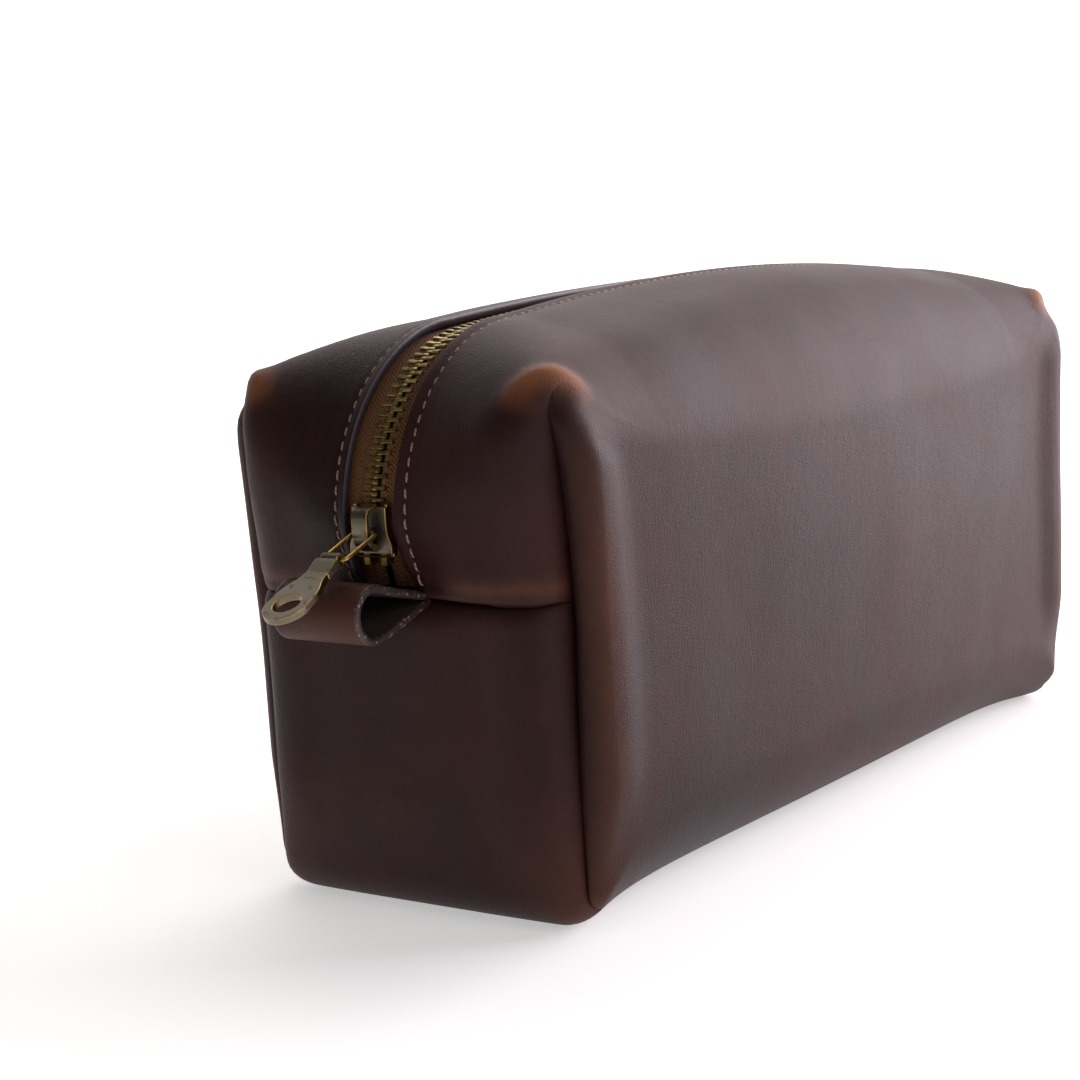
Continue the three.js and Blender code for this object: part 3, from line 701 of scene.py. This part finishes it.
def end_loop(name, side, node):
    """The folded strap: up from the seam, round the end, and back to the seam."""
    low, high = box_mm(node)
    radius = (high[2] - low[2]) / 2
    thick = LOOP_LEATHER
    mid_radius = radius - thick / 2
    reach = max(abs(low[0]), abs(high[0]))
    centre = np.array([reach - radius, SEAM_Z])
    tip = np.array([min(abs(low[0]), abs(high[0])) + LOOP_SEWN_IN, SEAM_Z])
    apart = centre[0] - tip[0]
    tilt = math.asin((mid_radius - thick / 2) / apart)
    path = []
    normals = []
    straight = 18
    turn_steps = 40
    for sign in (1, -1):
        start = tip + np.array([0, sign * thick * 0.52])
        angle = sign * (math.pi / 2 + tilt)
        end = centre + mid_radius * np.array([math.cos(angle), math.sin(angle)])
        sewn = [np.array([tip[0] - inset, start[1]]) for inset in (5.5, 4, 2.5, 1)]
        leg = sewn + [start + (end - start) * (i / straight) for i in range(straight)]
        direction = unit(end - start)
        normal = np.array([-direction[1], direction[0]]) * sign
        leg_normals = [np.array([0, float(sign)])] * len(sewn) + [normal] * straight
        if sign == 1:
            path += leg
            normals += leg_normals
            for i in range(turn_steps + 1):
                angle = (math.pi / 2 + tilt) * (1 - 2 * i / turn_steps)
                out = np.array([math.cos(angle), math.sin(angle)])
                path.append(centre + mid_radius * out)
                normals.append(out)
        else:
            path += leg[::-1]
            normals += leg_normals[::-1]
    path = np.array(path) * [side, 1]
    normals = np.array(normals) * [side, 1]
    half_width = (high[1] - low[1]) / 2
    points, count = swept_strap(path, normals, half_width, thick / 2, (low[1] + high[1]) / 2)
    sag = wander(points, 30, 11) * 0.35
    points = points + np.stack([sag * 0, sag * 0.4, sag], -1)
    rows = len(path)
    faces = grid_faces(rows, count, True, side < 0)
    faces.append(tuple(range(count))[::-1] if side > 0 else tuple(range(count)))
    ends = tuple(range((rows - 1) * count, rows * count))
    faces.append(ends if side > 0 else ends[::-1])
    # the strap's outer side is skin, its inner side is flesh, and the rest is cut edge
    skin_column, flesh_column = 4, 14
    kinds = []
    for face in faces[:-2]:
        column = (face[0] if side > 0 else face[-1]) % count
        kinds.append({skin_column: 0, flesh_column: 1}.get(column, 2))
    kinds += [2, 2]
    obj = new_mesh(name, points, faces, [LOOP_SKIN, FLESH, LOOP_EDGE], kinds, 60)
    float_attribute(obj, "stretch_and_highlight", np.full(len(points), 0.12))
    return finish_piece(obj, "bag", "loop_leather", node)


# ---- zip -----------------------------------------------------------------------------
def zip_place(distance, height=0.0):
    """x, z and lean of the place at a distance along the zip, above the tape's middle."""
    distance = np.asarray(distance, float)
    mirrored = distance > ZIP_LENGTH / 2
    d = np.where(mirrored, ZIP_LENGTH - distance, distance)
    turned = np.clip((d - TAIL) / TURN_RADIUS, 0, TURN)
    on_top = d > TAIL + TURN_LENGTH
    tail = np.minimum(d - TAIL, 0)
    reach = TURN_RADIUS + height
    x = ARC_X - reach * np.cos(turned)
    z = ARC_Z + reach * np.sin(turned) + tail
    lean = math.pi / 2 - turned
    top_lean = math.pi / 2 - TURN - (d - TAIL - TURN_LENGTH) / TOP_RADIUS
    x = np.where(on_top, -(TOP_RADIUS + height) * np.sin(top_lean), x)
    z = np.where(on_top, TOP_CENTRE_Z + (TOP_RADIUS + height) * np.cos(top_lean), z)
    lean = np.where(on_top, top_lean, lean)
    return np.where(mirrored, -x, x), z, np.where(mirrored, -lean, lean)


def zip_points(distances, across, heights):
    """Points of the zip at distances along it, places across it and heights over the tape."""
    x, z, _ = zip_place(distances, heights)
    y = np.asarray(across, float)
    tucked = tail_tuck(z)
    x = x - np.sign(x) * tucked
    return np.stack([x, y + x * 0, z - back_sag(x, y, z)], -1)


def zip_tape(side):
    """One half of the tape: a woven band with a corded edge under the teeth."""
    distances = np.linspace(-BELOW, ZIP_LENGTH + BELOW, 306)
    across = np.array([1.0, 1.3, 1.9, 2.6, 3.2, 3.7, 4.4, 5.5, 6.5, 7.5, 8.5, 10.5, 12.6, 13.0])
    thick = np.array([0.25, 0.62, 0.82, 0.86, 0.78, 0.36, 0.3, 0.3, 0.3, 0.3, 0.3, 0.3, 0.3, 0.12])
    ring_y = np.concatenate([across, across[::-1]])
    ring_t = np.concatenate([thick, -thick[::-1]])
    along, place = np.meshgrid(distances, ring_y, indexing="ij")
    heights = np.broadcast_to(ring_t, along.shape)
    points = zip_points(along, side * place, heights).reshape(-1, 3)
    rows, columns = along.shape
    faces = grid_faces(rows, columns, True, side > 0)
    first = tuple(range(columns))
    last = tuple(range((rows - 1) * columns, rows * columns))
    faces += [first if side > 0 else first[::-1], last[::-1] if side > 0 else last]
    word = "back" if side > 0 else "front"
    obj = new_mesh("zip_tape_weave_" + word, points, faces, [TAPE], None, 50)
    float_attribute(obj, "along", along.ravel())
    float_attribute(obj, "across", place.ravel())
    return finish_piece(obj, "bag", "zip_tape", "zip_tape_" + word)


TOOTH_SECTIONS = np.array([(3.1, 0.40, 1.20), (3.0, 0.52, 1.38), (1.9, 0.53, 1.38), (1.2, 0.46, 1.22),
                           (0.7, 0.46, 1.18), (0.3, 0.60, 1.16), (-0.35, 0.62, 1.12), (-0.62, 0.56, 1.06),
                           (-0.72, 0.36, 0.86)])
TOOTH_RING = np.array([(1, -0.7), (1, 0.7), (0.9, 0.9), (0.66, 1), (-0.66, 1), (-0.9, 0.9), (-1, 0.7), (-1, -0.7),
                       (-0.9, -0.9), (-0.66, -1), (0.66, -1), (0.9, -0.9)])


def zip_teeth(side):
    """One side's separate teeth: a clamped foot, a waist and a wider head that locks behind its neighbours."""
    pitch = 2.5
    thickness = 1.05
    comb = 7.5
    first = comb + thickness / 2 + 0.2 + (0 if side < 0 else pitch / 2)
    distances = np.arange(first, ZIP_LENGTH - comb - thickness, pitch)
    rows, ring = len(TOOTH_SECTIONS), len(TOOTH_RING)
    points = []
    faces = []
    for d in distances:
        base = sum(len(p) for p in points)
        x, z, lean = (float(v) for v in zip_place(d))
        run = TOOTH_SECTIONS[:, None, 1] * TOOTH_RING[None, :, 0]
        rise = TOOTH_SECTIONS[:, None, 2] * TOOTH_RING[None, :, 1]
        y = side * TOOTH_SECTIONS[:, None, 0] + run * 0
        px = x + run * math.cos(lean) - rise * math.sin(lean)
        pz = z + run * math.sin(lean) + rise * math.cos(lean)
        pz = pz - back_sag(px, y * 0, pz)
        points.append(np.stack([px, y, pz], -1).reshape(-1, 3))
        for face in grid_faces(rows, ring, True, side < 0):
            faces.append(tuple(base + v for v in face))
        foot = tuple(base + v for v in range(ring))
        head = tuple(base + (rows - 1) * ring + v for v in range(ring))
        faces.append(foot[::-1] if side > 0 else foot)
        faces.append(head if side > 0 else head[::-1])
    word = "back" if side > 0 else "front"
    obj = new_mesh("zip_teeth_brass_" + word, np.concatenate(points), faces, [TEETH_BRASS], None, 38)
    return finish_piece(obj, "bag", "zip_brass", "zip_teeth_" + word)


def zip_stitches(y, word):
    """Separate stitches: each rises out of one hole, lies on the leather and dives into the next."""
    pitch = 3.1
    length = 2.75
    first = 0.4 - BELOW
    count = int((ZIP_LENGTH - 2 * first) / pitch)
    rng = np.random.default_rng(17 if y < 0 else 18)
    rows, ring = 11, 10
    t = np.linspace(-1, 1, rows)[:, None]
    angle = np.linspace(0, 2 * math.pi, ring, endpoint=False)[None, :]
    sink = 0.75 * np.abs(t) ** 3.2
    thick = 0.26 * (1 - 0.25 * np.abs(t) ** 4)
    points, faces, along, around = [], [], [], []
    hole_shade_points, hole_shade_faces = [], []
    disc = np.linspace(0, 2 * math.pi, 12, endpoint=False)
    level = TAPE_DEPTH - 0.32
    for n in range(count):
        middle = first + pitch * (n + 0.5) + rng.normal(0, 0.05)
        slant = rng.normal(0.09, 0.05)
        base = n * rows * ring
        d = middle + t * length / 2 + angle * 0
        height = level + 0.20 - sink + thick * np.sin(angle)
        points.append(zip_points(d, y + slant * t + thick * np.cos(angle), height).reshape(-1, 3))
        along.append(d.ravel())
        around.append((angle + t * 0).ravel())
        for face in grid_faces(rows, ring, True, True):
            faces.append(tuple(base + v for v in face))
        faces.append(tuple(base + v for v in range(ring)))
        faces.append(tuple(base + (rows - 1) * ring + v for v in range(ring))[::-1])
        # a dark disc between each pair of stitches: painted shade of the hole and of the thread's shadow
        centre = middle + pitch / 2
        hole_shade_points.append(zip_points(centre + 0.42 * np.cos(disc), y + 0.34 * np.sin(disc), level + 0.07 + disc * 0))
        hole_shade_faces.append(tuple(range(n * 12, n * 12 + 12)))
    obj = new_mesh("stitches_" + word, np.concatenate(points), faces, [THREAD], None, 60)
    float_attribute(obj, "along", np.concatenate(along))
    float_attribute(obj, "around", np.concatenate(around))
    finish_piece(obj, "bag", "thread", "zip_stitch_" + word)
    hole_shade_disc = new_mesh("stitch_shade_discs_" + word, np.concatenate(hole_shade_points), hole_shade_faces, [HOLE_SHADE])
    finish_piece(hole_shade_disc, "bag", "leather")


def seam_stitches(name, start, end, node):
    """A hidden seam inside the bag: separate stitches, end to end, between two points."""
    start, end = np.array(start, float), np.array(end, float)
    run = np.linalg.norm(end - start)
    direction = (end - start) / run
    side = unit(np.cross(direction, [1.0, 1.0, 0.3]))
    other = np.cross(direction, side)
    pitch = 4.0
    t = np.linspace(-1, 1, 7)
    radius = 0.32 * np.sqrt(np.maximum(1 - 0.9 * t ** 6, 0.05))
    angle = np.linspace(0, 2 * math.pi, 8, endpoint=False)
    points, faces, along, around = [], [], [], []
    for n in range(int(run / pitch)):
        base = n * 56
        for step, r in zip(t, radius):
            at = start + direction * (pitch * (n + 0.5) + 1.7 * step)
            for a in angle:
                points.append(at + side * r * math.cos(a) + other * r * math.sin(a))
                along.append(pitch * n + 1.7 * step)
                around.append(a)
        faces += [tuple(base + v for v in face) for face in grid_faces(7, 8, True, True)]
        faces.append(tuple(base + v for v in range(8)))
        faces.append(tuple(base + 48 + v for v in range(8))[::-1])
    obj = new_mesh(name, points, faces, [THREAD], None, 60)
    float_attribute(obj, "along", np.array(along))
    float_attribute(obj, "around", np.array(around))
    return finish_piece(obj, "bag", "thread", node)


def hidden_seams():
    for end, sx in (("near", -1), ("far", 1)):
        seam_stitches(f"end_seam_{end}", (sx * 118.5, -36, SEAM_Z), (sx * 118.5, 36, SEAM_Z), f"{end}_end_seam_thread")
        for wall, sy in (("front", -1), ("back", 1)):
            seam_stitches(f"corner_seam_{end}_{wall}", (sx * 116, sy * 38, 14), (sx * 116, sy * 38, 104),
                          f"corner_thread_{end}_{wall}")


# ---- slider, link and tab ------------------------------------------------------------
def prism(outline, low, high, plane="xy"):
    """Points and faces of an outline made solid between two values of the third direction."""
    area = sum(a[0] * b[1] - b[0] * a[1] for a, b in zip(outline, outline[1:] + outline[:1]))
    if area < 0:
        outline = outline[::-1]
    n = len(outline)
    points = [(u, v, low) for u, v in outline] + [(u, v, high) for u, v in outline]
    faces = [tuple(range(n))[::-1], tuple(range(n, 2 * n))]
    faces += [(i, (i + 1) % n, n + (i + 1) % n, n + i) for i in range(n)]
    points = np.array(points, float)
    if plane == "xz":
        points = points[:, [0, 2, 1]]
        faces = [face[::-1] for face in faces]
    return points, faces


def shells(name, parts, place, materials, bevel):
    """One mesh of several closed shells given in a local frame, put in place, with its edges eased."""
    points, faces = [], []
    base = 0
    for part_points, part_faces in parts:
        points.append(place(part_points))
        faces += [tuple(base + v for v in face) for face in part_faces]
        base += len(part_points)
    obj = new_mesh(name, np.concatenate(points), faces, materials)
    eased = obj.modifiers.new("eased_edges", "BEVEL")
    eased.width = bevel * MM
    eased.use_clamp_overlap = True
    eased.segments = 3
    eased.limit_method = "ANGLE"
    eased.angle_limit = math.radians(32)
    # the eased edges take the lighter brass: rubbed edges and painted highlight
    eased.material = 1
    eased.harden_normals = True
    return obj


def slider_place(p):
    """The slider's own frame: x up along the zip, y across, z out of the bag from the tape."""
    return np.stack([ARC_X - TURN_RADIUS - p[:, 2], -p[:, 1], ARC_Z + p[:, 0]], -1)


def swing_place(joint, drop_deg):
    """A frame hung on a joint: x points away from the bag and down by an angle, y across."""
    at = np.array(joint["pos_m"]) / MM
    c, s = math.cos(math.radians(drop_deg)), math.sin(math.radians(drop_deg))

    def place(p):
        return np.stack([at[0] - c * p[:, 0] - s * p[:, 2], at[1] - p[:, 1], at[2] - s * p[:, 0] + c * p[:, 2]], -1)
    return place


def slider_body():
    wide, narrow, wall = 5.7, 4.6, 0.85
    back, front = -4.9, 6.3

    def side(w, n, inset):
        return [(back + inset, -w), (-3.0, -w), (-2.3, -w + 0.1), (-1.2, -n - 0.55), (0.0, -n - 0.2), (1.6, -n),
                (front - inset, -n)]

    def plan(w, n, inset):
        lower = side(w, n, inset)
        return lower + [(x, -y) for x, y in reversed(lower)]

    def flange(sign, low, high):
        outer = side(wide, narrow, 0.0)
        inner = side(wide - wall, narrow - wall, 0.0)
        return prism([(x, sign * y) for x, y in outer + inner[::-1]], low, high)

    floor, roof, strap = 2.7, 6.1, 1.1
    under = roof - strap
    nose = [(back - 0.35, -2.6), (back, -4.6), (back, 4.6), (back - 0.35, 2.6)]
    rounded = plan(wide, narrow, 0.6)
    bridge = [(-4.1, floor - 0.5), (-3.5, floor + 1.0), (-2.9, roof - 1.5), (-2.2, roof - 0.7), (-1.3, roof - 0.2),
              (-0.4, roof), (3.6, roof), (4.7, roof - 0.25), (5.4, roof - 0.9), (5.75, roof - 1.9), (6.0, floor - 0.5),
              (4.8, floor - 0.5), (4.55, under - 0.8), (4.2, under - 0.2), (3.5, under), (-0.4, under),
              (-1.2, under - 0.25), (-1.9, under - 0.9), (-2.5, floor - 0.5)]
    parts = [prism(rounded, 1.5, floor), flange(1, 0.6, 2.0), flange(-1, 0.6, 2.0),
             prism(rounded, -3.4, -2.2), flange(1, -2.7, -1.3), flange(-1, -2.7, -1.3),
             prism(nose, 1.7, floor - 0.25),
             prism([(back + 0.3, 0), (-3.4, -1.2), (-2.0, 0), (-3.4, 1.2)], -2.6, 1.9),
             prism(bridge, -2.1, 2.1, "xz")]
    obj = shells("slider_with_bridge", parts, slider_place, [SLIDER_BRASS, RUBBED_AND_LIT_BRASS], 0.22)
    return finish_piece(obj, "slider", "slider_metal", "slider_body")


def rounded_rectangle(x0, x1, half, radius, steps):
    points = []
    for cx, cy, start in ((x1 - radius, half - radius, 90), (x1 - radius, -half + radius, 0),
                          (x0 + radius, -half + radius, -90), (x0 + radius, half - radius, -180)):
        for k in range(steps + 1):
            angle = math.radians(start - 90 * k / steps)
            points.append((cx + radius * math.cos(angle), cy + radius * math.sin(angle)))
    return np.array(points)


def pull_link():
    wire, reach, half = 0.5, 12.1, 3.1
    path = rounded_rectangle(0, reach, half, 1.5, 8)
    path = np.concatenate([np.linspace(a, b, 4, endpoint=False) if np.linalg.norm(a - b) > 1 else a[None]
                           for a, b in zip(path, np.roll(path, -1, 0))])
    tangent = unit(np.roll(path, -1, 0) - np.roll(path, 1, 0))
    normal = np.stack([-tangent[:, 1], tangent[:, 0]], -1)
    ring = 14
    points = []
    for at, n in zip(path, normal):
        for k in range(ring):
            angle = 2 * math.pi * k / ring
            side = wire * math.cos(angle)
            points.append((at[0] + n[0] * side, at[1] + n[1] * side, wire * math.sin(angle)))
    place = swing_place(LINK_PIVOT, 20.3)
    faces = grid_faces(len(path), ring, True)
    faces += [(len(path) * ring - ring + c, len(path) * ring - ring + (c + 1) % ring, (c + 1) % ring, c)
              for c in range(ring)]
    obj = new_mesh("link_wire", place(np.array(points)), faces, [RUBBED_AND_LIT_BRASS], None, 60)
    return finish_piece(obj, "link", "slider_metal", "pull_link")


def pull_tab():
    length, half, thick = 22.0, 5.3, 0.8
    centre = length - half
    hole = 3.15
    angles = np.linspace(-math.pi, math.pi, 72, endpoint=False)
    points, inner = [], []
    for a in angles:
        direction = np.array([math.cos(a), math.sin(a)])
        reach = half
        if direction[0] < 0:
            # the ring runs out into the straight sides of the neck
            for step in np.linspace(half, centre - 4.6, 200):
                x = centre + direction[0] * step
                edge = np.interp(x, [4.5, 6.8, 8.4, 10.6, 12.6, centre], [2.9, 2.95, 3.55, 4.6, 5.12, half])
                if abs(direction[1] * step) > edge or x < 4.6:
                    break
                reach = step
        points.append((centre + direction[0] * reach, direction[1] * reach))
        inner.append((centre - 0.3 + direction[0] * hole, direction[1] * hole))
    n = len(points)
    ring = [(x, y, thick) for x, y in points] + [(x, y, thick) for x, y in inner]
    ring += [(x, y, -thick) for x, y in points] + [(x, y, -thick) for x, y in inner]
    faces = []
    for i in range(n):
        j = (i + 1) % n
        faces.append((i, j, n + j, n + i))
        faces.append((2 * n + j, 2 * n + i, 3 * n + i, 3 * n + j))
        faces.append((2 * n + i, 2 * n + j, j, i))
        faces.append((n + i, n + j, 3 * n + j, 3 * n + i))
    neck = [(1.0, -0.75), (5.6, -0.79), (5.6, 0.82), (5.1, 0.84), (2.5, 1.5), (1.2, 1.5)]
    barrel_turn = np.linspace(0, 2 * math.pi, 28, endpoint=False)
    barrel_out = [(1.7 * math.cos(a), 1.7 * math.sin(a)) for a in barrel_turn]
    barrel_in = [(0.85 * math.cos(a), 0.85 * math.sin(a)) for a in barrel_turn]
    m = len(barrel_out)
    tube = [(x, -2.3, z) for x, z in barrel_out] + [(x, -2.3, z) for x, z in barrel_in]
    tube += [(x, 2.3, z) for x, z in barrel_out] + [(x, 2.3, z) for x, z in barrel_in]
    tube_faces = []
    for i in range(m):
        j = (i + 1) % m
        tube_faces.append((i, j, m + j, m + i))
        tube_faces.append((2 * m + j, 2 * m + i, 3 * m + i, 3 * m + j))
        tube_faces.append((2 * m + i, 2 * m + j, j, i))
        tube_faces.append((m + i, m + j, 3 * m + j, 3 * m + i))
    parts = [(np.array(ring), faces), prism(neck, -2.9, 2.9, "xz"), (np.array(tube), tube_faces)]
    obj = shells("tab_with_hole", parts, swing_place(TAB_PIVOT, 25.5), [SLIDER_BRASS, RUBBED_AND_LIT_BRASS], 0.2)
    return finish_piece(obj, "tab", "slider_metal", "pull_tab")


leather_body()
end_loop("near_loop_strap", -1, "near_end_loop")
end_loop("far_loop_strap", 1, "far_end_loop")
for side in (-1, 1):
    zip_tape(side)
    zip_teeth(side)
zip_stitches(-STITCH_Y, "front")
zip_stitches(STITCH_Y, "back")
hidden_seams()
slider_body()
pull_link()
pull_tab()

for node_name, node in frame["nodes"].items():
    if not node.hide_render:
        node.data.materials.clear()
        node.data.materials.append(THREAD if "thread" in node_name else TEETH_BRASS)


# ---- floor, light and camera ---------------------------------------------------------
def build_stage():
    """A pale floor that sweeps up behind the bag, and a dim world."""
    s = Shader("pale_floor", Roughness=0.7)
    s.plug(s.bsdf, "Base Color", (0.88, 0.88, 0.88, 1))
    s.plug(s.bsdf, "Emission Color", (1, 1, 1, 1))
    s.plug(s.bsdf, "Emission Strength", 0.45)
    along = np.array([math.cos(CAMERA_YAW), math.sin(CAMERA_YAW)])
    across = np.array([-along[1], along[0]])
    profile = [(-1.6, 0.0), (0.9, 0.0)]
    profile += [(0.9 + 0.6 * math.sin(a), 0.6 - 0.6 * math.cos(a)) for a in np.linspace(0.1, math.pi / 2, 14)]
    profile += [(1.5, 2.6)]
    points = []
    for reach, height in profile:
        for side in (-2.4, 2.4):
            x, y = along * reach + across * side
            points.append((x / MM, y / MM, height / MM))
    faces = [(2 * i, 2 * i + 2, 2 * i + 3, 2 * i + 1) for i in range(len(profile) - 1)]
    floor = new_mesh("floor_sweep", points, faces, [s.material])
    world = bpy.data.worlds.new("studio")
    bpy.context.scene.world = world
    world.use_nodes = True
    world.node_tree.nodes["Background"].inputs[0].default_value = (1, 1, 1, 1)
    world.node_tree.nodes["Background"].inputs[1].default_value = 0.12


def soft_light(name, location, target, size, power, colour=(1, 1, 1)):
    data = bpy.data.lights.new(name, "AREA")
    data.shape = "RECTANGLE"
    data.size, data.size_y = size
    data.energy = power
    data.color = colour
    light = bpy.data.objects.new(name, data)
    bpy.context.scene.collection.objects.link(light)
    light.location = location
    light.rotation_euler = (Vector(target) - Vector(location)).to_track_quat("-Z", "Y").to_euler()


def build_camera():
    data = bpy.data.cameras.new("camera")
    data.sensor_width = SENSOR_MM
    data.lens = FOCAL_PIXELS / FRAME_PIXELS * SENSOR_MM
    camera = bpy.data.objects.new("camera", data)
    bpy.context.scene.collection.objects.link(camera)
    camera.location = CAMERA_PLACE
    level = math.cos(CAMERA_PITCH)
    forward = Vector((math.cos(CAMERA_YAW) * level, math.sin(CAMERA_YAW) * level, -math.sin(CAMERA_PITCH)))
    camera.rotation_mode = "QUATERNION"
    look = forward.to_track_quat("-Z", "Y")
    turn = Euler((0, 0, CAMERA_ROLL)).to_quaternion()
    camera.rotation_quaternion = look @ turn
    bpy.context.scene.camera = camera


build_stage()
soft_light("side", (1.25, -0.75, 0.55), (0, 0, 0.06), (1.3, 1.2), 33, (1.0, 0.90, 0.97))
soft_light("high", (0.75, 0.35, 1.25), (0, 0, 0.1), (1.2, 1.2), 10, (1.0, 0.88, 0.82))
soft_light("front", (-0.35, -1.5, 0.9), (0, 0, 0.06), (0.9, 0.9), 6, (1.0, 0.93, 0.88))
build_camera()
scene = bpy.context.scene
scene.view_settings.view_transform = "Standard"
